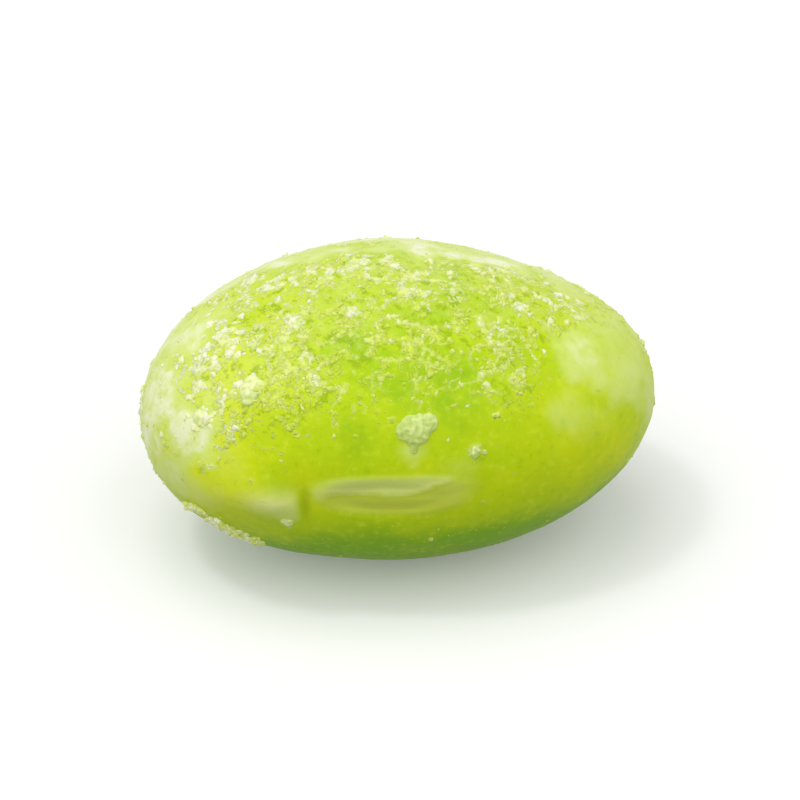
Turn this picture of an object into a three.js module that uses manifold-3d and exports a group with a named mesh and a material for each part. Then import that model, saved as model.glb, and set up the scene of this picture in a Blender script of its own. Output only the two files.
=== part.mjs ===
// One shelled edamame bean: a single seed, lying on its broad side as it rests on a table.
// Millimetres, +Z up. Its length runs along X and its scar faces -Y. The origin is in the middle
// of the seed's bounding box in plan, at the height of the surface that the seed rests on.
import * as THREE from "three";
import { mergeVertices } from "three/addons/utils/BufferGeometryUtils.js";
import Module from "manifold-3d";

// Overall size of the seed, before the flat that it rests on is taken off its underside.
const LENGTH = 15.0;
const WIDTH = 10.5;
const THICKNESS = 8.65;

// Form of the seed. Shares are of its half sizes.
const FULLNESS = 2.04; // 2 is an ellipsoid, and more has fuller shoulders
const TAPER = 0.06; // how much slimmer the crown end, at +X, is than the root end
const CURL = { root: 0.95, crown: -0.35 }; // how far each end curls towards the scar
const SKIN_DETAIL = 17; // each edge of the starting icosahedron is split this many times more

// Shallow hollows where the seed lay against its neighbour and the pod.
const HOLLOWS = [
  { towards: [0.55, 0.3, 0.8], spread: 0.42, depth: 0.12 },
  { towards: [-0.45, 0.55, 0.7], spread: 0.36, depth: 0.08 },
  { towards: [0.2, 0.95, -0.1], spread: 0.5, depth: 0.14 },
  { towards: [0, -0.05, -1], spread: 0.4, depth: 0.08 },
];

// The embryo root's low ridge, under the skin between the scar and the -X end.
const ROOT_RIDGE = { from: -5.9, to: -3.0, fade: 0.6, halfWidth: 0.9, height: 0.22 };

// The scar (hilum), where the seed hung in its pod: a long shallow oval bed with a raised pad in it.
const SCAR = {
  x: -0.23,
  length: 4.45,
  width: 1.25,
  depth: 0.14,
  padShare: 0.84, // of the scar's length and width
  padThickness: 0.56,
  padBelowSkin: 0.03,
};
const OVAL_SIDES = 36; // round each oval solid of the scar

// How much of the underside is taken off for the small flat that the seed rests on.
const REST_DEPTH = 0.1;

const GREEN = 0xafd02c;
const WELD_DISTANCE = 1e-5; // corners of a mesh that are closer than this are one

const wasm = await Module();
wasm.setup();

function smoothStep(low, high, value) {
  return THREE.MathUtils.smoothstep(value, low, high);
}

// A geometry as a closed manifold-3d solid.
function toSolid(geometry) {
  const bare = geometry.clone();
  bare.deleteAttribute("normal");
  bare.deleteAttribute("uv");
  const merged = mergeVertices(bare, WELD_DISTANCE);
  return new wasm.Manifold(
    new wasm.Mesh({
      numProp: 3,
      vertProperties: merged.attributes.position.array,
      triVerts: new Uint32Array(merged.index.array),
    }),
  );
}

// A manifold-3d solid as a geometry.
function toGeometry(solid) {
  const mesh = solid.getMesh();
  const geometry = new THREE.BufferGeometry();
  geometry.setAttribute("position", new THREE.BufferAttribute(mesh.vertProperties, mesh.numProp));
  geometry.setIndex(new THREE.BufferAttribute(mesh.triVerts, 1));
  geometry.computeVertexNormals();
  return geometry;
}

// How far the hollows pull the skin in at a direction from the middle of the seed.
function hollowDepth(direction) {
  return HOLLOWS.reduce((depth, hollow) => {
    const away = direction.angleTo(new THREE.Vector3(...hollow.towards));
    return depth + hollow.depth * Math.exp(-((away / hollow.spread) ** 2));
  }, 0);
}

// How far the embryo root pushes the skin out at a point on the scar side.
function rootRise(point) {
  if (point.y > 0) return 0;
  const { from, to, fade, halfWidth, height } = ROOT_RIDGE;
  const along = smoothStep(from - fade, from + fade, point.x) * (1 - smoothStep(to - fade, to, point.x));
  return height * along * Math.exp(-((point.z / halfWidth) ** 2));
}

// The point of the skin in a direction from the middle of the seed.
function skinPoint(direction) {
  const { x, y, z } = direction;
  const sum = [x, y, z].reduce((total, share) => total + Math.abs(share) ** FULLNESS, 0);
  const reach = sum ** (-1 / FULLNESS);
  const along = x * reach;
  const girth = reach * (1 - TAPER * along);
  const curl = along < 0 ? CURL.root : CURL.crown;
  const point = new THREE.Vector3(
    (LENGTH / 2) * along,
    (WIDTH / 2) * y * girth - curl * along ** 2,
    (THICKNESS / 2) * z * girth,
  );
  const outwards = new THREE.Vector3(x / LENGTH, y / WIDTH, z / THICKNESS).normalize();
  return point.addScaledVector(outwards, rootRise(point) - hollowDepth(direction));
}

// The seed without its scar, centred on its own box, with the flat that it rests on.
function seedGeometry() {
  const geometry = new THREE.IcosahedronGeometry(1, SKIN_DETAIL);
  const places = geometry.attributes.position;
  const direction = new THREE.Vector3();
  for (let i = 0; i < places.count; i++) {
    direction.fromBufferAttribute(places, i).normalize();
    places.setXYZ(i, ...skinPoint(direction));
  }
  geometry.computeBoundingBox();
  const size = geometry.boundingBox.getSize(new THREE.Vector3());
  geometry.center();
  geometry.scale(LENGTH / size.x, WIDTH / size.y, THICKNESS / size.z);
  const restHeight = REST_DEPTH - THICKNESS / 2;
  for (let i = 0; i < places.count; i++) {
    places.setZ(i, Math.max(places.getZ(i), restHeight));
  }
  return geometry;
}

// The y of the skin on the scar side, at a place along the seed and halfway up it.
function scarSideY(geometry, x) {
  const skin = new THREE.Mesh(geometry, new THREE.MeshBasicMaterial({ side: THREE.DoubleSide }));
  const ray = new THREE.Raycaster(new THREE.Vector3(x, -WIDTH, 0), new THREE.Vector3(0, 1, 0));
  return ray.intersectObject(skin)[0].point.y;
}

// A flattened oval solid as long as the scar runs, with its middle at the given y.
function oval(length, width, thickness, middleY) {
  const geometry = new THREE.SphereGeometry(0.5, OVAL_SIDES, OVAL_SIDES / 2);
  geometry.rotateX(Math.PI / 2);
  geometry.scale(length, thickness, width);
  geometry.translate(SCAR.x, middleY, 0);
  return toSolid(geometry);
}

function edamameBean() {
  const seed = seedGeometry();
  const skinY = scarSideY(seed, SCAR.x);
  const { length, width, depth, padShare, padThickness, padBelowSkin } = SCAR;
  const bed = oval(length, width, 2 * depth, skinY);
  const padY = skinY + padBelowSkin + padThickness / 2;
  const pad = oval(padShare * length, padShare * width, padThickness, padY);
  const geometry = toGeometry(toSolid(seed).subtract(bed).add(pad));
  geometry.computeBoundingBox();
  const { min, max } = geometry.boundingBox;
  geometry.translate(-(min.x + max.x) / 2, -(min.y + max.y) / 2, -min.z);
  const skin = new THREE.MeshStandardMaterial({ color: GREEN, roughness: 0.55, metalness: 0 });
  const mesh = new THREE.Mesh(geometry, skin);
  mesh.name = "edamame_bean";
  return mesh;
}

const part = new THREE.Group();
part.add(edamameBean());
export default part;
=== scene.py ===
# A frozen shelled edamame bean on a pale table: its skin, its scar and its coat of frost.
import math

import bmesh
import bpy
import numpy as np
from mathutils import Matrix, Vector, noise
from mathutils.bvhtree import BVHTree


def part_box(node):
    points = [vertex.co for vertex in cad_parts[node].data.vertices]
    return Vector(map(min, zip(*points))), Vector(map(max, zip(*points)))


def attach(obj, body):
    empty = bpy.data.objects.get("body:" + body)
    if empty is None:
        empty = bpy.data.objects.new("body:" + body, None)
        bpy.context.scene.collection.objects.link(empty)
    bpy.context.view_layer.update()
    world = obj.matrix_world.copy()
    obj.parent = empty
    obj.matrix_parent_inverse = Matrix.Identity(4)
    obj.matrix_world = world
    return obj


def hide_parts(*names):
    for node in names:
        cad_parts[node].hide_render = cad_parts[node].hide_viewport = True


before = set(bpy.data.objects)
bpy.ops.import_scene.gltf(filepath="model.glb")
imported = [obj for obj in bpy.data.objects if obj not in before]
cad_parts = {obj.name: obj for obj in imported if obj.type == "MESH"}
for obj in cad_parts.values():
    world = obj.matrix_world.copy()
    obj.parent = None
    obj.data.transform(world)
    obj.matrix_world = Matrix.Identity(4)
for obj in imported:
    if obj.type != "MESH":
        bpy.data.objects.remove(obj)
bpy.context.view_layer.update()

mm = 0.001
scene = bpy.context.scene
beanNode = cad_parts["edamame_bean"]
beanLow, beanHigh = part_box("edamame_bean")
middle = np.array((beanLow + beanHigh) / 2)
half = np.array((beanHigh - beanLow) / 2)  # half the length, the width and the thickness
solidBean = BVHTree.FromObject(beanNode, bpy.context.evaluated_depsgraph_get())

# Places on the skin are given as (along, around). Along is -1 at the root end and 1 at the crown
# end. Around is in degrees about the length: 0 at the scar, 90 on top, 180 behind, -90 underneath.
# Across is -1 on the scar side and 1 behind, and up is -1 underneath and 1 on top.
# A range is a pair of values that something grows between, and the first may be the larger one.

seedShift = (7.3, 3.1, 5.7)  # how far each seed moves its noise, in lumps


def skinPlace(along, around):
    # the point of the skin there, seen from the middle of the bean's section at that place
    x, height = middle[0] + along * half[0], middle[2]
    sides = [solidBean.ray_cast(Vector((x, side * 2 * half[1], height)), Vector((0, -side, 0)))[0].y
             for side in (-1, 1)]
    angle = math.radians(around)
    outwards = Vector((0, -math.cos(angle) * half[1], math.sin(angle) * half[2])).normalized()
    return np.array(solidBean.ray_cast(Vector((x, sum(sides) / 2, height)), outwards)[0])


def smoothStep(low, high, values):
    share = np.clip((values - low) / (high - low), 0, 1)
    return share * share * (3 - 2 * share)


def noiseShift(seed):
    return Vector([seed * step for step in seedShift])


def noiseAt(points, size, seed, octaves=3):
    # soft noise from about -1 to 1, in lumps of this size
    shift = noiseShift(seed)
    fading, finer = 1.0, 2.0  # how each octave compares with the last
    return np.array([noise.fractal(Vector(p) / size + shift, fading, finer, octaves) for p in points])


def granulesAt(points, size, seed):
    # round grains side by side, about this far apart: 1 on top of each and 0 between them
    shift = noiseShift(seed)
    away = np.array([noise.voronoi(Vector(p) / size + shift)[0][0] for p in points])
    return np.clip(1 - away, 0, 1)


def nearSpots(points, spots):
    # how much of each (along, around, radius, amount) spot there is at each point, added up
    total = np.zeros(len(points))
    for along, around, radius, amount in spots:
        away = np.linalg.norm(points - skinPlace(along, around), axis=1)
        total += amount * np.exp(-(away / radius) ** 2)
    return total


def ovalMark(points, along, around, length, width):
    # 1 in the middle of an oval mark on the skin and 0 outside it
    away = points - skinPlace(along, around)
    across = np.linalg.norm(away[:, 1:], axis=1)
    return np.exp(-(away[:, 0] / length) ** 2 - (across / width) ** 2)


def readVectors(items, key):
    values = np.empty(len(items) * 3)
    items.foreach_get(key, values)
    return values.reshape(-1, 3)


def pointsAndNormals(mesh):
    return readVectors(mesh.vertices, "co"), readVectors(mesh.vertex_normals, "vector")


def cornerVertices(mesh):
    # which vertex is at each corner of each face
    corners = np.empty(len(mesh.loops), int)
    mesh.loops.foreach_get("vertex_index", corners)
    return corners


def addNumbers(mesh, name, values):
    mesh.attributes.new(name, "FLOAT", "POINT").data.foreach_set("value", values.astype(np.float32))


def meshPiece(name, vertices, faces, material, smooth):
    mesh = bpy.data.meshes.new(name)
    mesh.from_pydata(vertices.tolist(), [], faces.tolist())
    mesh.polygons.foreach_set("use_smooth", np.full(len(faces), smooth))
    mesh.materials.append(material)
    mesh.update()
    piece = bpy.data.objects.new(name, mesh)
    scene.collection.objects.link(piece)
    return piece


def applyModifiers(piece):
    shaped = piece.evaluated_get(bpy.context.evaluated_depsgraph_get())
    piece.data = bpy.data.meshes.new_from_object(shaped)
    piece.modifiers.clear()


def addNode(tree, kind, inputs=None, **settings):
    node = tree.nodes.new("ShaderNode" + kind)
    for name, value in settings.items():
        setattr(node, name, value)
    for name, value in (inputs or {}).items():
        if isinstance(value, bpy.types.NodeSocket):
            tree.links.new(value, node.inputs[name])
        else:
            node.inputs[name].default_value = value
    return node


def mixColour(tree, share, first, second):
    # inputs 6 and 7 and output 2 are the Mix node's colours
    return addNode(tree, "Mix", {0: share, 6: first, 7: second}, data_type="RGBA").outputs[2]


def mixValue(tree, share, first, second):
    return addNode(tree, "Mix", {0: share, 2: first, 3: second}).outputs[0]


def calculate(tree, operation, first, second):
    return addNode(tree, "Math", {0: first, 1: second}, operation=operation).outputs[0]


def plus(tree, first, second):
    return calculate(tree, "ADD", first, second)


def minus(tree, first, second):
    return calculate(tree, "SUBTRACT", first, second)


def times(tree, first, second):
    return calculate(tree, "MULTIPLY", first, second)


def larger(tree, first, second):
    return calculate(tree, "MAXIMUM", first, second)


def fromTo(tree, value, low, high, toLow=0.0, toHigh=1.0):
    inputs = {"Value": value, "From Min": low, "From Max": high, "To Min": toLow, "To Max": toHigh}
    return addNode(tree, "MapRange", inputs, interpolation_type="SMOOTHSTEP").outputs[0]


def colourRamp(tree, value, stops):
    ramp = addNode(tree, "ValToRGB", {"Fac": value})
    points = ramp.color_ramp.elements
    while len(points) < len(stops):
        points.new(0.5)  # it is moved to its own place below
    for point, (position, tint) in zip(points, stops):
        point.position = position
        point.color = tint
    return ramp.outputs["Color"]


def noiseNode(tree, place, size, detail=2.0, roughness=0.5):
    inputs = {"Vector": place, "Scale": 1 / size, "Detail": detail, "Roughness": roughness}
    return addNode(tree, "TexNoise", inputs).outputs["Fac"]


def centredNoise(tree, place, *look):
    # the same noise, from about -0.5 to 0.5
    return minus(tree, noiseNode(tree, place, *look), 0.5)


def attribute(tree, name):
    return addNode(tree, "Attribute", attribute_name=name).outputs["Fac"]


def colour(red, green, blue):
    return (red, green, blue, 1.0)


def startMaterial(name, sockets):
    material = bpy.data.materials.new(name)
    material.use_nodes = True
    tree = material.node_tree
    surface = tree.nodes["Principled BSDF"]
    for socket, value in sockets.items():
        surface.inputs[socket].default_value = value
    place = addNode(tree, "TexCoord").outputs["Object"]
    return material, tree, surface, place


camera = {
    "elevation": 34.0,  # degrees above the table
    "azimuth": 0.0,  # 0 looks straight at the scar side
    "lens": 180.0,
    "sensor": 36.0,
    "sees": (1 * mm, 10.0),  # nearest and furthest
    "beanShare": 0.64,  # of the frame's width
    "lookAt": (0.0, 0.0, -0.04),  # shares of the bean's half size, from its middle
}


def makeCamera():
    data = bpy.data.cameras.new("camera")
    data.sensor_width = camera["sensor"]
    data.lens = camera["lens"]
    data.clip_start, data.clip_end = camera["sees"]
    distance = 2 * half[0] / camera["beanShare"] * data.lens / data.sensor_width
    elevation = math.radians(camera["elevation"])
    azimuth = math.radians(camera["azimuth"])
    level = math.cos(elevation)
    back = Vector((math.sin(azimuth) * level, -math.cos(azimuth) * level, math.sin(elevation)))
    holder = bpy.data.objects.new("camera", data)
    holder.location = Vector(middle + half * camera["lookAt"]) + back * distance
    holder.rotation_euler = (-back).to_track_quat("-Z", "Y").to_euler()
    scene.collection.objects.link(holder)
    scene.camera = holder


studio = {
    "floorColour": colour(1.0, 1.0, 0.995),
    "floorShade": colour(0.985, 0.988, 0.982),
    "floorClouds": 30 * mm,  # size of the patches of shade
    "floorBounce": colour(0.28, 0.28, 0.26),  # how much light the floor throws back up at the bean
    "floorFinish": {"Roughness": 0.9, "Specular IOR Level": 0.1},
    "floorSize": 1.2,
    "floorDrop": 0.01 * mm,  # how far it is below the bean
    "skyColour": colour(1, 1, 1),
    "skyStrength": 0.44,  # what lights the object
    "skySeen": 1.0,  # what the camera sees of it
    "lamps": [
        # name, direction it comes from, how strong, how wide in degrees, whether it casts shadows
        ("keySun", (-0.30, 0.08, 1.0), 0.64, 50, True),
        ("glintSun", (-0.40, -0.05, 1.0), 0.30, 9, True),
        ("frontSun", (0.05, -0.85, 0.85), 0.58, 60, False),
        ("rootEndSun", (-0.9, -0.35, 0.40), 0.58, 60, False),
        ("crownEndSun", (0.85, -0.25, 0.90), 0.69, 60, False),
    ],
}


def seenRays(tree):
    # 1 for what is seen straight, mirrored or through something, and 0 for light on its way
    path = addNode(tree, "LightPath")
    seen = larger(tree, path.outputs["Is Camera Ray"], path.outputs["Is Glossy Ray"])
    return larger(tree, seen, path.outputs["Is Transmission Ray"])


def makeFloor():
    material, tree, surface, place = startMaterial("paleFloor", studio["floorFinish"])
    cloudy = noiseNode(tree, place, studio["floorClouds"])
    shade = mixColour(tree, cloudy, studio["floorColour"], studio["floorShade"])
    shade = mixColour(tree, seenRays(tree), studio["floorBounce"], shade)
    tree.links.new(shade, surface.inputs["Base Color"])
    side, height = studio["floorSize"] / 2, -studio["floorDrop"]
    corners = np.array([(x * side, y * side, height) for x, y in ((-1, -1), (1, -1), (1, 1), (-1, 1))])
    meshPiece("floor", corners, np.array([[0, 1, 2, 3]]), material, False)


def makeWorld():
    world = bpy.data.worlds.new("world")
    world.use_nodes = True
    scene.world = world
    tree = world.node_tree
    light = tree.nodes["Background"]
    light.inputs["Color"].default_value = studio["skyColour"]
    strength = mixValue(tree, seenRays(tree), studio["skyStrength"], studio["skySeen"])
    tree.links.new(strength, light.inputs["Strength"])


def makeLamps():
    for name, direction, strength, width, shadow in studio["lamps"]:
        data = bpy.data.lights.new(name, "SUN")
        data.energy = strength
        data.use_shadow = shadow
        data.angle = math.radians(width)
        lamp = bpy.data.objects.new(name, data)
        lamp.rotation_euler = Vector(direction).to_track_quat("Z", "Y").to_euler()
        scene.collection.objects.link(lamp)


skin = {
    "splits": 7,  # how many times the starting cube's faces are halved each way
    "gather": 0.35,  # how much finer the mesh is towards the scar
    "smoothing": 60,  # rounds of it, which take off the solid's facets
    # slow unevenness, dimples and pebbles: size, height, seed
    "relief": [(4.2 * mm, 0.055 * mm, 1), (0.9 * mm, 0.012 * mm, 5), (0.32 * mm, 0.004 * mm, 9)],
    # share of the relief left at the scar, and how far from its middle the rest comes in
    "calm": (0.35, (1.0 * mm, 3.0 * mm)),
    # the embryo root's tip and the notch between it and the scar: along, around, length, width, height
    "rootTip": (-0.475, -4.5, 0.98 * mm, 0.42 * mm, 0.06 * mm),
    "notch": (-0.357, -5, 0.16 * mm, 0.60 * mm, -0.05 * mm),
    "rootCut": (-0.405, -0.370),  # along; the root's tip ends in this range
}

scar = {
    "middle": middle + (-0.20 * mm, -half[1], 0.08 * mm),
    "half": (2.30 * mm, 0.69 * mm),  # along and across
    "squareness": 2.5,  # 2 is an ellipse
    # reaches are measured from its middle, and 1 is its edge
    "fade": (0.74, 1.14),  # its colour ends in this range of reach
    "pad": (0.020 * mm, (0.80, 1.05)),  # height, and the range of reach where it drops
    "lip": (0.007 * mm, 0.88, 0.12),  # height, reach, width
    "groove": (0.008 * mm, -0.02, 0.13, (0.5, 0.85)),  # depth, place across, width, and where it ends
    "taper": (0.34, (0.1, 0.9)),  # how much its pale upper half narrows to the crown end, and where
    "elsewhere": 10,  # reach of the skin on the other side of the bean
}

ripenessAndShade = {
    # 0 is a deeper green, 0.5 plain and 1 yellow; riper at the ends and the scar side, and deeper green
    # underneath and in spots as painted shade
    "usual": 0.42,
    "ends": [(0.40, (-0.15, -0.7)), (0.20, (0.2, 0.8))],  # how much riper, and the range along
    "scarSide": (0.18, 0.05, 0.45, (-0.2, -0.9)),  # how much riper, how far up, width, range across
    "underneath": (-0.75, (0.0, -0.75)),  # painted shade: how much deeper green it is underneath, and the range up
    # painted shade: darker, greener places: along, around, radius, amount
    "paintedShadeSpots": [
        (-0.03, 46, 2.2 * mm, 0.10), (0.12, 60, 1.1 * mm, 0.13), (-0.47, 24, 1.3 * mm, 0.15),
        (0.30, 170, 2.4 * mm, 0.16),
    ],
}

frostCover = {
    "middle": 0.42,
    "towards": (-0.24, 0.30, 0.92),  # thickest on the parts of the skin that face this way
    "gain": 0.52,
    "least": 0.14,  # before the patches and the thin places
    "most": 1.35,
    "patches": (2.4 * mm, 0.30, 3),  # size, amount, seed
    "offScar": (1.2, (0.95, 1.4)),  # how much thinner it is on the scar, and the range of reach
    # thinner and thicker places: along, around, radius, amount
    "spots": [
        (0.52, 0, 2.1 * mm, -0.42), (-0.25, 10, 1.7 * mm, -0.25), (0.12, -30, 2.4 * mm, -0.25),
        (0.78, 10, 1.6 * mm, -0.30), (0.12, 60, 1.2 * mm, -0.20), (-0.18, 36, 1.2 * mm, -0.12),
        (0.35, 150, 2.0 * mm, -0.30), (-0.2, 215, 2.2 * mm, -0.20), (-0.88, 60, 2.3 * mm, 0.60),
        (-0.82, 30, 1.0 * mm, 0.20), (-0.54, 20, 1.1 * mm, -0.22), (0.42, 60, 1.0 * mm, -0.12),
        (-0.56, 45, 0.9 * mm, 0.20), (0.0, 105, 3.0 * mm, 0.15), (0.85, 75, 1.8 * mm, -0.25),
        (0.287, 17, 0.34 * mm, 0.80), (0.133, -19, 0.35 * mm, 0.40), (-0.5, 190, 2.2 * mm, 0.25),
        (0.7, 230, 1.2 * mm, 0.40),
    ],
}

frostNet = {
    # fine curly ridges of frost: how far apart, how wide as a share of that, and two seeds
    "layers": [(0.85 * mm, 0.13, 61, 65), (0.50 * mm, 0.15, 71, 75)],
    "crest": 0.3,  # share of a ridge's width
    "breaks": (-0.2, 0.2),  # a ridge fades out where slow noise falls through this range
    "breakSize": 2.2,  # size of that noise against how far apart the ridges are
    "height": 0.018 * mm,
}

granules = {
    # packed grains of frost
    "size": 0.23 * mm,
    "height": 0.020 * mm,
    "seed": 12,
    "drift": (0.5 * mm, 0.4, 14),  # size, amount and seed of the unevenness of their height
    "frost": (0.25, 0.75),  # they and the net grow over this range of frost
    "underFilm": (0.7, (0.2, 0.6)),  # share of them that a film of ice fills up, and its range
}

glaze = {
    # smooth films of ice: along, around, radius, amount
    "spots": [
        (0.69, 58, 1.0 * mm, 0.78), (0.86, 48, 1.3 * mm, 0.60), (0.84, 82, 1.9 * mm, 0.46),
        (0.90, 115, 1.7 * mm, 0.38), (0.64, 112, 1.6 * mm, 0.52), (0.97, 30, 1.0 * mm, 0.45),
        (0.66, 28, 1.0 * mm, 0.36), (0.76, 48, 0.7 * mm, 0.60), (-0.92, 52, 1.6 * mm, 0.92),
        (-0.866, 42, 0.8 * mm, 0.90), (-0.80, 26, 1.3 * mm, 0.90), (-0.68, 18, 1.2 * mm, 0.20),
        (-0.80, 88, 1.3 * mm, 0.85), (-0.88, -5, 1.2 * mm, 0.66), (-0.97, 20, 1.3 * mm, 0.86),
        (-0.93, 7, 0.8 * mm, 0.82), (-0.76, -8, 1.1 * mm, 0.38), (-0.92, 120, 1.7 * mm, 0.85),
        (-0.56, 45, 0.7 * mm, 0.50), (-0.65, 70, 1.0 * mm, 0.34), (-0.30, 1, 0.30 * mm, 0.34),
        (0.22, 8, 0.9 * mm, 0.20), (-0.43, -10, 0.42 * mm, 0.45), (0.045, 20, 0.48 * mm, 0.46),
        (0.05, 15, 0.30 * mm, 0.25), (-0.35, 152, 1.3 * mm, 0.45), (0.45, 200, 1.3 * mm, 0.45),
        (-0.65, 232, 1.1 * mm, 0.45), (0.10, 100, 1.0 * mm, 0.35), (0.35, -120, 1.2 * mm, 0.4),
    ],
    "edge": (0.15, 1.35),  # shares of its radius
    "raggedness": (0.8 * mm, 0.40, 31),  # size, amount and seed of the unevenness of a film's edge
    # patches of film in a band along the top of the back, partly real film and partly painted rim light
    "bandAround": 121,
    "bandWidth": 21,  # degrees
    "bandEdge": (0.5, 1.2),  # shares of its width
    "bandEnds": [(-1.0, -0.7), (0.8, 0.5)],  # ranges along
    "bandAmount": 0.72,
    "bandPatches": (1.5 * mm, 0.75, 37),  # size, amount, seed
    "height": 0.020 * mm,
}


def cubeSphere():
    ball = bmesh.new()
    bmesh.ops.create_cube(ball, size=2)
    bmesh.ops.subdivide_edges(ball, edges=ball.edges, cuts=2 ** skin["splits"] - 1, use_grid_fill=True)
    mesh = bpy.data.meshes.new("bean_skin")
    ball.to_mesh(mesh)
    ball.free()
    ways = np.tan(readVectors(mesh.vertices, "co") * math.pi / 4)
    return mesh, ways / np.linalg.norm(ways, axis=1)[:, None]


def gatherAtScar(ways):
    # turn each direction a little towards the scar side, -Y
    angle = np.arccos(np.clip(-ways[:, 1], -1, 1))
    sideways = ways * (1, 0, 1)
    sideways /= np.maximum(np.linalg.norm(sideways, axis=1), 1e-9)[:, None]
    angle -= skin["gather"] * np.sin(angle)
    return sideways * np.sin(angle)[:, None] - np.outer(np.cos(angle), (0, 1, 0))


def wrapOnBean(ways):
    centre = Vector(middle)
    return np.array([solidBean.ray_cast(centre, Vector(way).normalized())[0] for way in ways * half])


def softBean():
    # a fine mesh with the solid's form, without its facets
    mesh, ways = cubeSphere()
    mesh.vertices.foreach_set("co", wrapOnBean(gatherAtScar(ways)).ravel())
    bean = bpy.data.objects.new("bean_skin", mesh)
    scene.collection.objects.link(bean)
    bean.modifiers.new("soften", "SMOOTH").iterations = skin["smoothing"]
    applyModifiers(bean)
    return bean


def scarSide(points):
    # how far along and across each point is, and its reach, in shares of the scar's half size
    along, across = ((points - scar["middle"])[:, [0, 2]] / scar["half"]).T
    power = scar["squareness"]
    reach = (abs(along) ** power + abs(across) ** power) ** (1 / power)
    return along, across, np.where(points[:, 1] < middle[1], reach, scar["elsewhere"])


def scarRelief(points):
    _, across, reach = scarSide(points)
    height, drop = scar["pad"]
    pad = height * (1 - smoothStep(*drop, reach))
    height, place, width = scar["lip"]
    lip = height * np.exp(-((reach - place) / width) ** 2)
    depth, place, width, ends = scar["groove"]
    groove = depth * np.exp(-((across - place) / width) ** 2) * (1 - smoothStep(*ends, reach))
    return pad + lip - groove


def rootMarks(points):
    # how much of the root's tip and of the notch there is at each point
    marks = {key: ovalMark(points, *skin[key][:4]) for key in ("rootTip", "notch")}
    marks["rootTip"] *= 1 - smoothStep(*skin["rootCut"], (points[:, 0] - middle[0]) / half[0])
    return marks


def bareRise(points, marks):
    # how far the skin itself stands off the smooth bean
    left, whole = skin["calm"]
    away = np.linalg.norm(points - scar["middle"], axis=1)
    strength = left + (1 - left) * smoothStep(*whole, away)
    rise = scarRelief(points)
    for size, height, seed in skin["relief"]:
        rise += height * noiseAt(points, size, seed) * strength
    return rise + sum(mark * skin[key][4] for key, mark in marks.items())


def yellowAndShadeOn(points):
    # how yellow the skin is, with painted shade as a deeper green underneath and in spots
    along, across, up = ((points - middle) / half).T
    yellow = ripenessAndShade["usual"] + sum(amount * smoothStep(*span, along) for amount, span in ripenessAndShade["ends"])
    amount, place, width, span = ripenessAndShade["scarSide"]
    yellow += amount * np.exp(-((up - place) / width) ** 2) * smoothStep(*span, across)
    amount, span = ripenessAndShade["underneath"]
    yellow += amount * smoothStep(*span, up)
    return np.clip(yellow - nearSpots(points, ripenessAndShade["paintedShadeSpots"]), 0, 1)


def frostOn(points, normals):
    towards = np.array(frostCover["towards"])
    cover = frostCover["middle"] + frostCover["gain"] * normals @ towards / np.linalg.norm(towards)
    cover = np.maximum(cover, frostCover["least"])
    size, amount, seed = frostCover["patches"]
    cover += amount * noiseAt(points, size, seed)
    cover += nearSpots(points, frostCover["spots"])
    thinner, edge = frostCover["offScar"]
    cover -= thinner * (1 - smoothStep(*edge, scarSide(points)[2]))
    return np.clip(cover, 0, frostCover["most"])


def netOn(points):
    # 1 along curly lines, where soft noise passes through zero
    lines = np.zeros(len(points))
    for size, width, seed, breakSeed in frostNet["layers"]:
        wave = noiseAt(points, size, seed, 2)
        whole = smoothStep(*frostNet["breaks"], noiseAt(points, frostNet["breakSize"] * size, breakSeed, 2))
        ridge = 1 - smoothStep(frostNet["crest"] * width, width, abs(wave))
        lines = np.maximum(lines, whole * ridge)
    return lines


def glazeOn(points):
    size, amount, seed = glaze["raggedness"]
    ragged = amount * noiseAt(points, size, seed, 2)
    film = filmAndRimLightBand(points, ragged)
    for along, around, radius, most in glaze["spots"]:
        away = np.linalg.norm(points - skinPlace(along, around), axis=1) / radius + ragged
        film = np.maximum(film, most * (1 - smoothStep(*glaze["edge"], away)))
    return film


def filmAndRimLightBand(points, ragged):
    # a band of film along the top of the back, whose whiteness is partly painted rim light
    along, across, up = ((points - middle) / half).T
    size, amount, seed = glaze["bandPatches"]
    film = np.clip(glaze["bandAmount"] + amount * noiseAt(points, size, seed, 2), 0, 1)
    for ends in glaze["bandEnds"]:
        film *= smoothStep(*ends, along)
    turned = np.degrees(np.arctan2(up, -across)) % 360 - glaze["bandAround"]
    return film * (1 - smoothStep(*glaze["bandEdge"], abs(turned) / glaze["bandWidth"] + ragged))


def coatOn(points, frost, film):
    # the granules and the net, both filled up by films of ice
    size, amount, seed = granules["drift"]
    packed = granulesAt(points, granules["size"], granules["seed"])
    packed *= 1 - amount + amount * noiseAt(points, size, seed, 2)
    filled, span = granules["underFilm"]
    coat = smoothStep(*granules["frost"], frost) * (1 - filled * smoothStep(*span, film))
    return packed * coat, netOn(points) * coat


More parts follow.
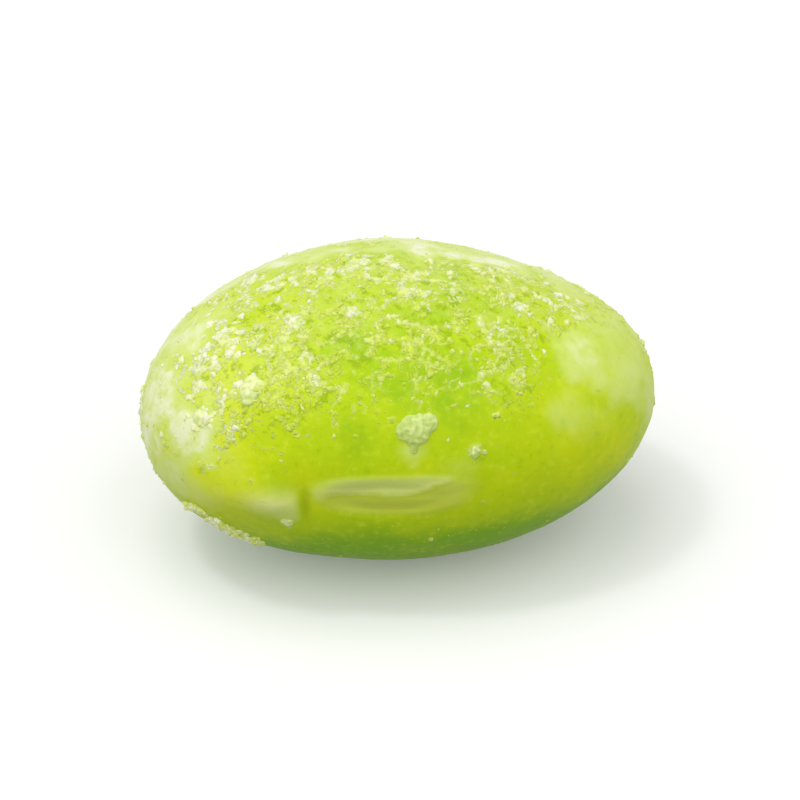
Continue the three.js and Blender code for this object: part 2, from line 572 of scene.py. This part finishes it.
def makeBean(material):
    bean = softBean()
    mesh = bean.data
    points, normals = pointsAndNormals(mesh)
    frost, film = frostOn(points, normals), glazeOn(points)
    marks = rootMarks(points)
    granule, net = coatOn(points, frost, film)
    rise = bareRise(points, marks)
    rise += granules["height"] * granule + frostNet["height"] * net + glaze["height"] * film
    points += normals * rise[:, None]
    points[:, 2] = np.maximum(points[:, 2], 0)
    mesh.vertices.foreach_set("co", points.ravel())
    along, across, reach = scarSide(points)
    narrower, span = scar["taper"]
    upScar = 0.5 + 0.5 * across - narrower * smoothStep(*span, along)  # 0 is its lower edge, 1 its upper
    numbers = {
        "frost": frost, "granule": granule, "net": net, "glaze": film, "yellow": yellowAndShadeOn(points),
        "scar": 1 - smoothStep(*scar["fade"], reach), "scarAcross": np.clip(upScar, 0, 1), **marks,
    }
    for name, values in numbers.items():
        addNumbers(mesh, name, values)
    mesh.polygons.foreach_set("use_smooth", np.full(len(mesh.polygons), True))
    mesh.materials.clear()
    mesh.materials.append(material)
    mesh.update()
    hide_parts("edamame_bean")
    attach(bean, "root")
    return bean, {"frost": frost, "net": net, "film": film}


# In the looks below, a noise is its size, detail and roughness. Four numbers in a row are a range of
# what drives something and the range that it drives it over.

greens = {
    "deep": colour(0.25, 0.52, 0.002),
    "plain": colour(0.52, 0.705, 0.003),
    "yellow": colour(0.71, 0.81, 0.004),
    "pale": colour(0.75, 0.87, 0.06),
    "mottling": (1.9 * mm, 3.0),
    "freckles": (0.24 * mm, 3.0, 0.6),
    "paleFreckles": (0.5, 0.75, 0.0, 0.35),
    "deepFreckles": (0.42, 0.25, 0.0, 0.35),
}


def greenSkin(tree, place):
    # the yellow attribute also carries painted shade, which deepens the green
    ripeAndShaded = plus(tree, attribute(tree, "yellow"), centredNoise(tree, place, *greens["mottling"]))
    tint = mixColour(tree, fromTo(tree, ripeAndShaded, 0.0, 0.5), greens["deep"], greens["plain"])
    tint = mixColour(tree, fromTo(tree, ripeAndShaded, 0.5, 1.0), tint, greens["yellow"])
    freckle = noiseNode(tree, place, *greens["freckles"])
    tint = mixColour(tree, fromTo(tree, freckle, *greens["paleFreckles"]), tint, greens["pale"])
    return mixColour(tree, fromTo(tree, freckle, *greens["deepFreckles"]), tint, greens["deep"])


scarLook = {
    "tan": colour(0.56, 0.65, 0.070),
    "pale": colour(0.64, 0.74, 0.19),
    # a painted highlight on the groove's upper edge
    "grooveHighlight": colour(0.72, 0.81, 0.24),
    "low": colour(0.62, 0.71, 0.07),
    # partly the groove's own darker line and partly painted shade in it
    "groove": colour(0.51, 0.60, 0.050),
    # its bands of colour, from 0 at its lower edge to 1 at its upper one. The groove band is partly its own
    # darker line and partly painted shade, and the band above it is a painted highlight on the groove's
    # upper edge
    "bands": [(0.13, "low"), (0.26, "tan"), (0.38, "tan"), (0.47, "groove"),
              (0.60, "grooveHighlight"), (0.70, "pale"), (0.88, "pale"), (0.98, "low")],
    "strength": 0.92,
    "fibres": (0.11 * mm, 3.0),
    "stretch": (0.25, 1.0, 1.0),  # the fibres run along the scar
    "wander": 0.18,  # how far the fibres shift the bands
    "rootTip": colour(0.86, 0.92, 0.34),
    "worn": (-0.2, 0.2, 0.75, 1.0),  # how fibres wear the root tip's colour
    # a dark olive painted as shade in the notch's dent
    "notch": colour(0.30, 0.40, 0.002),
    "notchShadeStrength": 0.5,
}


def scarOnSkin(tree, place, tint):
    # a tan pad with a pale upper lip, streaked along its length, with painted shade in its groove and a
    # painted highlight above it, the pale tip of the root beside it, and painted shade in the notch
    stretched = addNode(tree, "Mapping", {"Vector": place, "Scale": scarLook["stretch"]}).outputs[0]
    fibre = centredNoise(tree, stretched, *scarLook["fibres"])
    across = plus(tree, attribute(tree, "scarAcross"), times(tree, fibre, scarLook["wander"]))
    pad = colourRamp(tree, across, [(height, scarLook[name]) for height, name in scarLook["bands"]])
    tint = mixColour(tree, times(tree, attribute(tree, "scar"), scarLook["strength"]), tint, pad)
    tip = times(tree, attribute(tree, "rootTip"), fromTo(tree, fibre, *scarLook["worn"]))
    tint = mixColour(tree, tip, tint, scarLook["rootTip"])
    # painted shade in the notch
    notch = times(tree, attribute(tree, "notch"), scarLook["notchShadeStrength"])
    return mixColour(tree, notch, tint, scarLook["notch"])


frostLook = {
    # a darker green: painted shade between grains of frost
    "paintedGapShade": colour(0.31, 0.47, 0.004),
    "icy": colour(0.69, 0.82, 0.195),
    "white": colour(0.91, 0.94, 0.66),
    "icyOver": (0.0, 0.6),  # ranges of whiteness
    "whiteOver": (0.5, 1.0),
    "grain": (0.30 * mm, 4.0, 0.62),
    "gaps": (-0.03, -0.14, 0.0, 0.8),  # from the grain
    "gapFrost": (0.3, 0.7),  # range of frost over which gaps appear
    "patchiness": 1.4,
    "haze": (0.45, 1.6, 0.0, 0.38),  # from the patchy frost
    "granuleHaze": 0.12,
    "ridges": (-0.15, 0.12, 0.30, 0.85),  # from the grain
    "smears": (0.6 * mm, 3.0, 0.6),
    "filmWhite": (0.25, 0.6, 0.6, 0.95),  # from the smears
}


def frostOnSkin(tree, place, tint):
    # painted shade in small dark gaps between the grains, a thin haze, a net of fine ridges and smooth
    # films
    frost = attribute(tree, "frost")
    grain = centredNoise(tree, place, *frostLook["grain"])
    gapShade = fromTo(tree, grain, *frostLook["gaps"])
    gapShade = times(tree, gapShade, fromTo(tree, frost, *frostLook["gapFrost"]))
    tint = mixColour(tree, gapShade, tint, frostLook["paintedGapShade"])
    patchy = plus(tree, frost, times(tree, grain, frostLook["patchiness"]))
    haze = fromTo(tree, patchy, *frostLook["haze"])
    haze = plus(tree, haze, times(tree, attribute(tree, "granule"), frostLook["granuleHaze"]))
    ridge = times(tree, attribute(tree, "net"), fromTo(tree, grain, *frostLook["ridges"]))
    smear = fromTo(tree, noiseNode(tree, place, *frostLook["smears"]), *frostLook["filmWhite"])
    film = times(tree, attribute(tree, "glaze"), smear)
    whiteness = larger(tree, larger(tree, haze, ridge), film)
    tint = mixColour(tree, fromTo(tree, whiteness, *frostLook["icyOver"]), tint, frostLook["icy"])
    tint = mixColour(tree, fromTo(tree, whiteness, *frostLook["whiteOver"]), tint, frostLook["white"])
    return tint, whiteness


skinFinish = {
    "sockets": {
        "IOR": 1.42,
        "Specular IOR Level": 0.18,
        "Subsurface Weight": 0.25,
        "Subsurface Radius": (1.0, 0.9, 0.12),
        "Subsurface Scale": 0.9 * mm,
    },
    "bareRoughness": 0.44,
    "frostRoughness": 0.48,
    "frostOver": (0.1, 0.6),  # range of whiteness
    "glazeRoughness": 0.25,
    "granules": (0.085 * mm, 0.8),  # size and share of the bump
    "granuleFrost": (0.3, 0.9),  # range of frost over which they appear
    "pores": (0.10 * mm, 0.18),
    "bump": {"Distance": 0.028 * mm, "Strength": 0.8},
}


def skinRoughness(tree, whiteness):
    frosted = fromTo(tree, whiteness, *skinFinish["frostOver"])
    rough = mixValue(tree, frosted, skinFinish["bareRoughness"], skinFinish["frostRoughness"])
    return mixValue(tree, attribute(tree, "glaze"), rough, skinFinish["glazeRoughness"])


def skinBump(tree, place):
    # the finest granules, where there is frost and no film, and pores all over
    size, share = skinFinish["granules"]
    away = addNode(tree, "TexVoronoi", {"Vector": place, "Scale": 1 / size}).outputs["Distance"]
    frosted = fromTo(tree, attribute(tree, "frost"), *skinFinish["granuleFrost"])
    fine = times(tree, minus(tree, 1.0, away), frosted)
    fine = times(tree, fine, minus(tree, 1.0, attribute(tree, "glaze")))
    poreSize, poreShare = skinFinish["pores"]
    pores = times(tree, noiseNode(tree, place, poreSize), poreShare)
    height = plus(tree, times(tree, fine, share), pores)
    return addNode(tree, "Bump", {"Height": height, **skinFinish["bump"]}).outputs[0]


def skinMaterial():
    material, tree, surface, place = startMaterial("beanSkin", skinFinish["sockets"])
    tint = scarOnSkin(tree, place, greenSkin(tree, place))
    tint, whiteness = frostOnSkin(tree, place, tint)
    tree.links.new(tint, surface.inputs["Base Color"])
    tree.links.new(skinRoughness(tree, whiteness), surface.inputs["Roughness"])
    tree.links.new(skinBump(tree, place), surface.inputs["Normal"])
    return material


iceLook = {
    "grains": {
        "nearSkin": colour(0.54, 0.69, 0.045),
        "pale": colour(0.67, 0.785, 0.17),
        "white": colour(0.92, 0.95, 0.64),
        "roughness": 0.28,
    },
    "drops": {
        "nearSkin": colour(0.46, 0.61, 0.07),
        "pale": colour(0.56, 0.70, 0.18),
        "white": colour(0.85, 0.91, 0.46),
        "roughness": 0.22,
    },
    "paleOver": (0.0, 0.5),  # ranges of whiteness
    "whiteOver": (0.45, 1.0),
    "sockets": {
        "IOR": 1.31,
        "Specular IOR Level": 0.4,
        "Subsurface Weight": 0.9,
        "Subsurface Radius": (1.0, 1.0, 0.5),
        "Subsurface Scale": 0.12 * mm,
    },
}


def iceMaterial(name, kind):
    look = iceLook[kind]
    material, tree, surface, _ = startMaterial(name, {"Roughness": look["roughness"], **iceLook["sockets"]})
    whiteness = attribute(tree, "whiteness")
    tint = mixColour(tree, fromTo(tree, whiteness, *iceLook["paleOver"]), look["nearSkin"], look["pale"])
    tint = mixColour(tree, fromTo(tree, whiteness, *iceLook["whiteOver"]), tint, look["white"])
    tree.links.new(tint, surface.inputs["Base Color"])
    return material


growth = {
    # how thickly each kind grows: its range of frost, how much grows without frost, how much grows
    # everywhere, in patches and on the net, and the range of noise that makes the patches
    "fine": {"frost": (0.15, 0.95), "bare": 0.03, "everywhere": 0.07, "inPatches": 0.35, "onNet": 4.5,
             "patch": (0.0, 0.4)},
    "clumps": {"frost": (0.25, 0.8), "bare": 0.0, "everywhere": 0.35, "inPatches": 1.0, "onNet": 0.0,
               "patch": (-0.1, 0.4)},
    "needles": {"frost": (0.35, 0.85), "bare": 0.0, "everywhere": 0.1, "inPatches": 1.0, "onNet": 0.0,
                "patch": (-0.1, 0.4)},
    "patches": (0.75 * mm, 21),  # size and seed
    "offScar": (1.0, 1.3),  # range of reach
    "offFilm": (0.95, (0.15, 0.5)),  # share that is missing on smooth films, and the range of film
}

frostWhite = {
    # how white the grains are: their least and their usual whiteness, and what is added to it
    "least": 0.1,
    "usual": 0.14,
    "high": (0.12, (-0.5, 1.0)),  # amount, and the range up
    "back": (0.24, (-0.75, 0.05)),  # amount, and the range across
    "rootEnd": (0.40, (-0.2, -1.0)),  # amount, and the range along
    "drift": (0.2, 0.9 * mm, 33),  # amount, size, seed
    "onNet": 0.35,
    # grains are less white in the spots of painted shade
    "paintedShadeSpots": -1.5,
    "spread": 0.16,  # no two grains are quite alike
}


def pickSpots(bean, count, density, randomly):
    # random places on the skin, closer together where the density is higher
    points, normals = pointsAndNormals(bean.data)
    corners = cornerVertices(bean.data).reshape(-1, 4)
    areas = np.empty(len(corners))
    bean.data.polygons.foreach_get("area", areas)
    chance = np.cumsum(areas * density[corners].mean(1))
    faces = corners[np.searchsorted(chance, randomly.random(count) * chance[-1])]
    u, v = randomly.random((2, count, 1))
    share = np.stack([(1 - u) * (1 - v), u * (1 - v), u * v, (1 - u) * v], 1)
    spots, facing = (points[faces] * share).sum(1), (normals[faces] * share).sum(1)
    return spots, facing / np.linalg.norm(facing, axis=1)[:, None]


def grainDensity(points, coat, kind):
    where = growth[kind]
    size, seed = growth["patches"]
    patches = smoothStep(*where["patch"], noiseAt(points, size, seed))
    free = smoothStep(*growth["offScar"], scarSide(points)[2])
    missing, span = growth["offFilm"]
    free = free * (1 - missing * smoothStep(*span, coat["film"]))
    clustered = where["everywhere"] + where["inPatches"] * patches + where["onNet"] * coat["net"]
    return free * (where["bare"] + smoothStep(*where["frost"], coat["frost"])) * clustered


def whiteAt(spots, randomly):
    along, across, up = ((spots - middle) / half).T
    white = np.full(len(spots), frostWhite["usual"])
    for key, places in (("high", up), ("back", across), ("rootEnd", along)):
        amount, span = frostWhite[key]
        white += amount * smoothStep(*span, places)
    amount, size, seed = frostWhite["drift"]
    white += amount * noiseAt(spots, size, seed, 2) + frostWhite["onNet"] * netOn(spots)
    white += frostWhite["paintedShadeSpots"] * nearSpots(spots, ripenessAndShade["paintedShadeSpots"])
    white += randomly.normal(0, frostWhite["spread"], len(spots))
    return np.clip(white, frostWhite["least"], 1)


def tangents(normals, randomly):
    # two directions along the skin at each spot, turned at random
    first = np.cross(normals, randomly.normal(size=normals.shape))
    first /= np.linalg.norm(first, axis=1)[:, None]
    return first, np.cross(normals, first)


grains = {
    # rounds are how finely each lump is made, and 0 is an octahedron
    "dust": {"count": 12500, "radius": (0.020 * mm, 0.045 * mm), "rounds": 0, "roughness": 0.25,
             "whiter": 0.0, "smooth": False, "growth": "fine", "seed": 40},
    "crystals": {"count": 5400, "radius": (0.035 * mm, 0.088 * mm), "rounds": 1, "roughness": 0.42,
                 "whiter": 0.0, "smooth": False, "growth": "fine", "seed": 41},
    "clumps": {"count": 420, "radius": (0.062 * mm, 0.112 * mm), "rounds": 2, "roughness": 0.38,
               "whiter": 0.12, "smooth": True, "growth": "clumps", "seed": 42},
}

lump = {
    # the lumps of ice that grains and crumbs are copies of
    "shapes": 8,  # different ones in each piece
    "swell": (0.8, 1.3),  # size and height of the larger lumps' swellings, which their roughness scales
    "seeds": (1, 90),
    "stretch": (0.6, 1.5),
    "flatness": 0.65,  # how far they stand off the skin, as a share of their width
    "sunk": 0.1,  # how deep they sit in it, as a share of their radius
    "lowWhite": 0.45,  # how white they are at the skin, as a share of the top
    "whitening": 0.6,  # how fast they whiten upwards
    "smallness": 1.5,  # above 1 makes more of them small
}


def crystalShapes(kinds, rounds, roughness, randomly):
    # a few different lumps of ice of radius 1
    ball = bmesh.new()
    if rounds:
        bmesh.ops.create_icosphere(ball, subdivisions=rounds, radius=1)
    else:
        bmesh.ops.create_uvsphere(ball, u_segments=4, v_segments=2, radius=1)
    places = np.array([corner.co for corner in ball.verts])
    faces = np.array([[corner.index for corner in face.verts] for face in ball.faces])
    ball.free()
    size, height = lump["swell"]
    shapes = []
    for _ in range(kinds):
        reach = 1 + roughness * randomly.uniform(-1, 1, len(places))
        if rounds > 1:
            reach += height * roughness * noiseAt(places, size, randomly.integers(*lump["seeds"]), 2)
        shapes.append(places * reach[:, None] * randomly.uniform(*lump["stretch"], 3))
    return np.array(shapes), faces


def layOut(mesh, whiteness, randomly):
    # a map whose height is the whiteness, which is all that the ice's colour depends on
    margin = 0.02
    across = randomly.uniform(margin, 1 - margin, len(whiteness))
    places = np.stack([across, margin + (1 - 2 * margin) * whiteness], 1)[cornerVertices(mesh)]
    mesh.uv_layers.new(name="OFBake").uv.foreach_set("vector", places.astype(np.float32).ravel())


def finishIce(piece, whiteness, randomly):
    whiteness = np.clip(whiteness, 0, 1)
    addNumbers(piece.data, "whiteness", whiteness)
    layOut(piece.data, whiteness, randomly)
    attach(piece, "root")


def iceOnSkin(name, places, whiteness, faces, smooth, randomly, material):
    # one piece out of many bits of ice that have the same faces, without those that would sink in the
    # table. They are too small to darken what is round them.
    kept = places[:, :, 2].min(1) >= 0
    places, whiteness = places[kept], whiteness[kept]
    bits, corners = places.shape[:2]
    allFaces = (faces[None] + corners * np.arange(bits)[:, None, None]).reshape(-1, faces.shape[1])
    piece = meshPiece(name, places.reshape(-1, 3), allFaces, material, smooth)
    piece.visible_shadow = False
    piece.visible_diffuse = False
    finishIce(piece, whiteness.ravel(), randomly)
    print(name, "bits", bits, "faces", len(allFaces))


def placeLumps(name, spots, normals, radii, white, forms, smooth, randomly, material):
    # the lumps take turns to use the shapes
    shapes, faces = forms
    first, second = tangents(normals, randomly)
    axes = np.stack([first, second, normals * lump["flatness"]], 1)
    chosen = shapes[np.arange(len(spots)) % len(shapes)]
    away = np.einsum("gvi,gij->gvj", chosen, axes) - lump["sunk"] * normals[:, None]
    places = spots[:, None] + radii[:, None, None] * away
    lift = np.clip(0.5 + lump["whitening"] * np.einsum("gvi,gi->gv", away, normals), 0, 1)
    whiteness = white[:, None] * (lump["lowWhite"] + (1 - lump["lowWhite"]) * lift)
    iceOnSkin(name, places, whiteness, faces, smooth, randomly, material)


def makeGrains(bean, coat, material):
    points = readVectors(bean.data.vertices, "co")
    for key, kind in grains.items():
        randomly = np.random.default_rng(kind["seed"])
        density = grainDensity(points, coat, kind["growth"])
        spots, normals = pickSpots(bean, kind["count"], density, randomly)
        small, large = kind["radius"]
        radii = small * (large / small) ** (randomly.random(kind["count"]) ** lump["smallness"])
        forms = crystalShapes(lump["shapes"], kind["rounds"], kind["roughness"], randomly)
        white = whiteAt(spots, randomly) + kind["whiter"]
        placeLumps("frost_" + key, spots, normals, radii, white, forms, kind["smooth"], randomly, material)


needles = {
    "count": 1500,
    "rings": 3,  # in each, between its two pointed tips
    "sides": 5,
    "length": (0.10 * mm, 0.30 * mm),
    "bend": (4, 70),  # degrees
    "radius": (0.018 * mm, 0.042 * mm),
    "unevenness": (0.75, 1.2),  # of the radius
    "thickness": 0.8,  # as a share of the width
    "lowWhite": 0.5,  # how white they are at the skin, as a share of the top
    "growth": "needles",
    "seed": 77,
}


def needleFaces(rings, sides):
    # triangles over a tip, the rings and the other tip
    last = rings * sides + 1
    faces = []
    for side in range(sides):
        after = (side + 1) % sides
        faces += [(0, after + 1, side + 1), (last, last - sides + side, last - sides + after)]
        for ring in range(rings - 1):
            here = 1 + ring * sides
            there = here + sides
            faces.append((here + side, here + after, there + after))
            faces.append((here + side, there + after, there + side))
    return np.array(faces)


def makeNeedles(bean, coat, material):
    # short bent needles of frost that lie on the skin
    randomly = np.random.default_rng(needles["seed"])
    count, rings, sides = needles["count"], needles["rings"], needles["sides"]
    points = readVectors(bean.data.vertices, "co")
    spots, normals = pickSpots(bean, count, grainDensity(points, coat, needles["growth"]), randomly)
    first, second = tangents(normals, randomly)
    length = randomly.uniform(*needles["length"], (count, 1))
    bend = np.radians(randomly.uniform(*needles["bend"], (count, 1)))
    bend = bend * randomly.choice((-1, 1), (count, 1))
    steps = np.linspace(-0.5, 0.5, rings + 2)  # along each needle, from tip to tip
    alongPath = np.sin(bend * steps) / bend * length
    acrossPath = (1 - np.cos(bend * steps)) / bend * length
    path = spots[:, None] + alongPath[..., None] * first[:, None] + acrossPath[..., None] * second[:, None]
    turn = (bend * steps)[..., None]
    sideways = np.cos(turn) * second[:, None] - np.sin(turn) * first[:, None]
    girth = randomly.uniform(*needles["radius"], (count, 1)) * np.sqrt(1 - (2 * steps) ** 2)
    girth = girth * randomly.uniform(*needles["unevenness"], girth.shape)
    angles = 2 * math.pi * np.arange(sides) / sides
    outwards = (np.cos(angles)[:, None] * sideways[:, 1:-1, None]
                + needles["thickness"] * np.sin(angles)[:, None] * normals[:, None, None])
    ringPlaces = (path[:, 1:-1, None] + girth[:, 1:-1, None, None] * outwards).reshape(count, -1, 3)
    places = np.concatenate([path[:, :1], ringPlaces, path[:, -1:]], 1)
    lift = np.concatenate([[0.5], np.tile(0.5 + 0.5 * np.sin(angles), rings), [0.5]])
    whiteness = whiteAt(spots, randomly)[:, None] * (needles["lowWhite"] + (1 - needles["lowWhite"]) * lift)
    iceOnSkin("frost_needles", places, whiteness, needleFaces(rings, sides), False, randomly, material)


crust = {
    # where loose crumbs of ice cling: along, around, radius, amount
    "spots": [
        (-0.79, -29, 0.24 * mm, 1.0), (-0.715, -33.5, 0.24 * mm, 1.0), (-0.635, -37, 0.25 * mm, 1.0),
        (-0.56, -39, 0.22 * mm, 0.8), (-0.67, -36, 0.5 * mm, 0.3), (-0.563, 44.6, 0.45 * mm, 0.35),
        (-0.652, 70, 0.55 * mm, 0.35), (-0.747, 33.7, 0.40 * mm, 0.35), (0.60, 215, 0.5 * mm, 0.5),
        (-0.2, 160, 0.4 * mm, 0.3),
    ],
    "crowding": 1.5,  # above 1 keeps them nearer the middle of each spot
    "count": 460,
    "radius": (0.030 * mm, 0.10 * mm),
    "heap": 1.3,  # how far up the crumbs pile, as a share of their radius
    "rounds": 2,
    "roughness": 0.25,
    # partly painted light: the crumbs are made whiter against the bean's shade on them
    "whiter": 0.35,
    "seed": 91,
}


def makeCrust(bean, material):
    randomly = np.random.default_rng(crust["seed"])
    count, (small, large) = crust["count"], crust["radius"]
    density = nearSpots(readVectors(bean.data.vertices, "co"), crust["spots"]) ** crust["crowding"]
    spots, normals = pickSpots(bean, count, density, randomly)
    radii = small * (large / small) ** randomly.random(count)
    spots += normals * (radii * randomly.uniform(0, crust["heap"], count))[:, None]
    forms = crystalShapes(lump["shapes"], crust["rounds"], crust["roughness"], randomly)
    white = whiteAt(spots, randomly) + crust["whiter"]
    placeLumps("frost_crust", spots, normals, radii, white, forms, False, randomly, material)


beads = {
    # larger drops of ice: along, around, radius, how white, and the lumps that each is made of, which
    # are placed along and up the skin and sized in shares of its radius
    "drops": [
        (0.064, 27.5, 0.56 * mm, 0.60, [(-0.62, 0.00, 0.42), (-0.30, 0.38, 0.48), (0.15, 0.50, 0.44),
                                        (0.66, 0.42, 0.42), (0.0, -0.10, 0.62), (-0.25, -0.60, 0.42),
                                        (0.15, -0.75, 0.30), (-0.22, -1.15, 0.24), (-0.25, -1.55, 0.20)]),
        (-0.563, 44.6, 0.44 * mm, 0.95, [(-0.50, 0.10, 0.45), (0.0, 0.0, 0.60), (0.55, -0.20, 0.42),
                                         (0.10, 0.55, 0.34), (-0.25, -0.50, 0.34)]),
        (-0.747, 33.7, 0.36 * mm, 1.0, [(0.0, 0.0, 0.60), (0.40, 0.45, 0.40), (-0.40, -0.30, 0.45)]),
        (0.28, 17, 0.26 * mm, 0.80, [(0.0, 0.0, 0.50), (0.20, 0.50, 0.42), (1.1, -0.25, 0.32)]),
        (-0.424, -15.5, 0.30 * mm, 0.85, [(0.0, 0.0, 0.46), (-0.35, 0.45, 0.34), (0.25, 0.40, 0.26),
                                          (0.10, -0.50, 0.30), (-0.65, -0.10, 0.22)]),
        # the next four drops are made whiter partly as painted light, against the bean's shade on them
        (-0.785, -29, 0.36 * mm, 1.0, [(-0.6, 0.25, 0.40), (0.0, 0.0, 0.52), (0.6, -0.2, 0.36)]),
        (-0.71, -33.5, 0.36 * mm, 1.0, [(-0.6, 0.15, 0.36), (0.0, 0.0, 0.52), (0.6, -0.1, 0.42)]),
        (-0.63, -37, 0.32 * mm, 1.0, [(-0.5, 0.1, 0.40), (0.2, 0.0, 0.50), (0.8, 0.0, 0.30)]),
        (-0.555, -39.5, 0.26 * mm, 0.9, [(-0.4, 0.1, 0.40), (0.4, 0.0, 0.45)]),
        (0.42, 150, 0.40 * mm, 0.85, [(-0.3, 0.0, 0.55), (0.45, 0.3, 0.45), (0.1, -0.6, 0.40),
                                      (-0.6, -0.5, 0.30)]),
        (-0.55, 168, 0.34 * mm, 0.85, [(0.0, 0.0, 0.55), (0.6, -0.2, 0.42), (-0.45, 0.35, 0.36)]),
        (0.20, 205, 0.32 * mm, 0.80, [(0.0, 0.0, 0.55), (-0.5, 0.45, 0.42), (0.5, -0.3, 0.32)]),
    ],
    "flatness": 0.42,  # how far a lump stands off the skin, as a share of its radius
    "rounds": 3,
    "unevenness": 0.05,  # of each lump
    "fineness": 0.030,  # millimetres
    "melting": 8,  # how much the lumps run into each other
    "roughening": (0.13 * mm, 0.026 * mm, 50),  # size, height, seed
    "thinWhite": 0.65,  # share of a drop's whiteness that it keeps where it is thin
    "thickWhite": (0.5, 0.2 * mm),  # what is added to that, and the thickness where all of it is
    "roughWhite": 0.12,
    "paintedTopLight": (0.20, (-0.3, 1.0)),  # painted light on the drops' tops: amount, and the least and most height in shares of the radius
    "seed": 5,
}


def lumpPlaces(solid, along, around, radius, lumps, shape):
    # flattened balls on the skin, in millimetres
    spot = skinPlace(along, around)
    facing = solid.find_nearest(Vector(spot))[1]
    up = Vector((0, -math.sin(math.radians(around)), math.cos(math.radians(around))))
    right = up.cross(facing).normalized()
    for rightShare, upShare, size in lumps:
        wanted = Vector(spot) + radius * (rightShare * right + upShare * up)
        place, outwards = solid.find_nearest(wanted)[:2]
        first = up.cross(outwards).normalized()
        axes = np.array([first, outwards.cross(first), outwards * beads["flatness"]])
        yield (np.array(place) + size * radius * shape @ axes) / mm


def meltedDrops(solid, material, randomly):
    # the lumps are joined in millimetres, because a voxel has a least size, and then scaled
    shapes, faces = crystalShapes(1, beads["rounds"], beads["unevenness"], randomly)
    lumps = []
    for along, around, radius, _, parts in beads["drops"]:
        lumps += lumpPlaces(solid, along, around, radius, parts, shapes[0])
    allFaces = np.concatenate([faces + i * len(shapes[0]) for i in range(len(lumps))])
    piece = meshPiece("frost_beads", np.concatenate(lumps), allFaces, material, True)
    joined = piece.modifiers.new("join", "REMESH")
    joined.mode = "VOXEL"
    joined.voxel_size = beads["fineness"]
    joined.use_smooth_shade = True
    piece.modifiers.new("melt", "SMOOTH").iterations = beads["melting"]
    applyModifiers(piece)
    return piece


def dropWhiteness(solid, places, rough):
    # whiter where a drop is thick, and lighter towards its top, which is painted light
    spots = np.array([skinPlace(*drop[:2]) for drop in beads["drops"]])
    nearest = np.linalg.norm(places[None] - spots[:, None], axis=2).argmin(0)
    radii, white = np.array([drop[2:4] for drop in beads["drops"]])[nearest].T
    amount, span = beads["paintedTopLight"]
    top = amount * np.clip((places[:, 2] - spots[nearest, 2]) / radii, *span)
    thickness = np.array([solid.find_nearest(Vector(place))[3] for place in places])
    amount, most = beads["thickWhite"]
    return white * (beads["thinWhite"] + amount * smoothStep(0, most, thickness)) + (
        beads["roughWhite"] * rough + top)


def makeBeads(bean, material):
    randomly = np.random.default_rng(beads["seed"])
    solid = BVHTree.FromObject(bean, bpy.context.evaluated_depsgraph_get())
    piece = meltedDrops(solid, material, randomly)
    places, normals = pointsAndNormals(piece.data)
    places *= mm
    size, height, seed = beads["roughening"]
    rough = noiseAt(places, size, seed)
    places += normals * (height * rough)[:, None]
    piece.data.vertices.foreach_set("co", places.ravel())
    piece.data.update()
    finishIce(piece, dropWhiteness(solid, places, rough), randomly)
    print("frost_beads", len(beads["drops"]), "faces", len(piece.data.polygons))


scene.view_settings.view_transform = "Standard"
makeCamera()
makeWorld()
makeLamps()
makeFloor()
print("stage ready")
bean, coat = makeBean(skinMaterial())
print("bean skin ready, faces", len(bean.data.polygons))
frostIce = iceMaterial("frostIce", "grains")
makeGrains(bean, coat, frostIce)
makeNeedles(bean, coat, frostIce)
makeCrust(bean, frostIce)
makeBeads(bean, iceMaterial("dropIce", "drops"))
print("frost ready")
